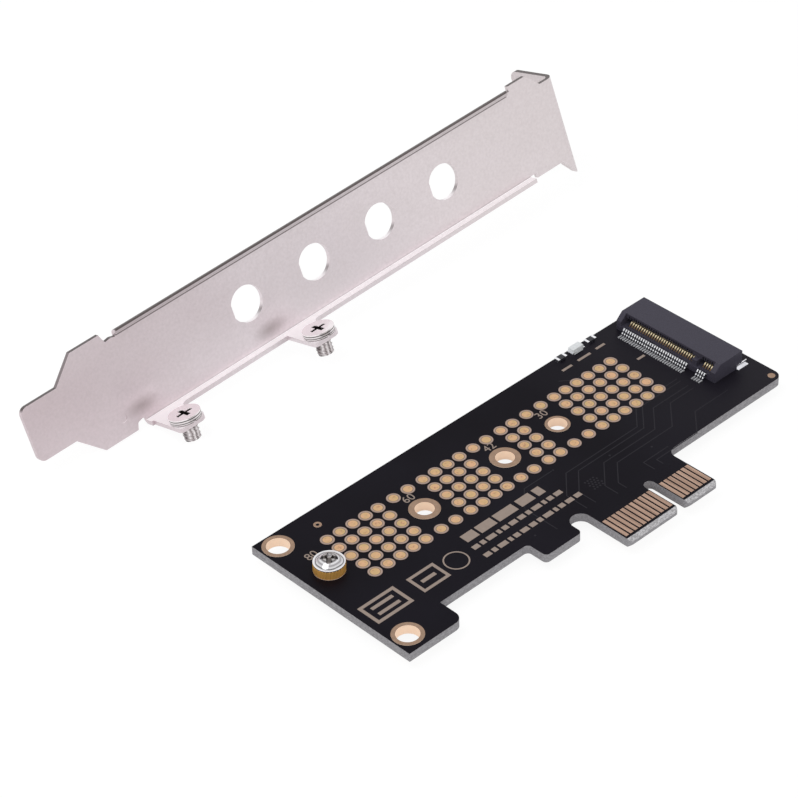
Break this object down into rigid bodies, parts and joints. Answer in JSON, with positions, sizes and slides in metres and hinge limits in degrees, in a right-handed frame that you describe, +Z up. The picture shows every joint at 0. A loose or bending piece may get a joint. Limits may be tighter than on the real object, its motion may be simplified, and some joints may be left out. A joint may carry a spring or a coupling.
{
  "type": "nvme adapter card with a loose slot bracket",
  "caption": "Slot adapter card for a drive module: keyed edge tongue, module socket, heat pads and standoff, with its folded slot bracket and screws beside it.",
  "frame": {"origin": "midway between the board's two bracket holes, on its underside", "axes": "+X along the board towards the socket, +Y across it away from the slot tongue, +Z up out of the component side"},
  "size_m": [0.1212, 0.0917, 0.0255],
  "materials": {
    "solder_mask": "satin blue-black mask over glass fibre laminate",
    "gold_plate": "thin brownish gold plate",
    "bare_copper": "plated copper, peach and tan",
    "socket_plastic": "fine matte moulding, dark blue-grey",
    "tinned_metal": "bright tin",
    "brass": "knurled orange brass",
    "bright_nickel": "polished",
    "nickel_plate": "bright plate",
    "white_plastic": "translucent white",
    "resistor_glaze": "dark glaze",
    "bracket_steel": "satin nickel plate"
  },
  "bodies": {
    "root": {"circuit_board": "solder_mask", "front_edge_contacts": "gold_plate", "back_edge_contacts": "gold_plate", "thermal_pads": "bare_copper", "bracket_hole_lands": "bare_copper", "module_hole_lands": "bare_copper", "socket_housing": "socket_plastic", "socket_lower_contacts": "tinned_metal", "socket_upper_contacts": "gold_plate", "socket_hold_downs": "tinned_metal", "standoff": "brass", "standoff_nut": "nickel_plate", "module_screw": "bright_nickel", "led_base": "white_plastic", "led_lens": "white_plastic", "led_terminals": "tinned_metal", "resistor_bodies": "resistor_glaze", "resistor_terminals": "tinned_metal", "bracket": "bracket_steel", "bracket_screws": "nickel_plate", "bracket_lock_washers": "nickel_plate"}
  },
  "joints": []
}
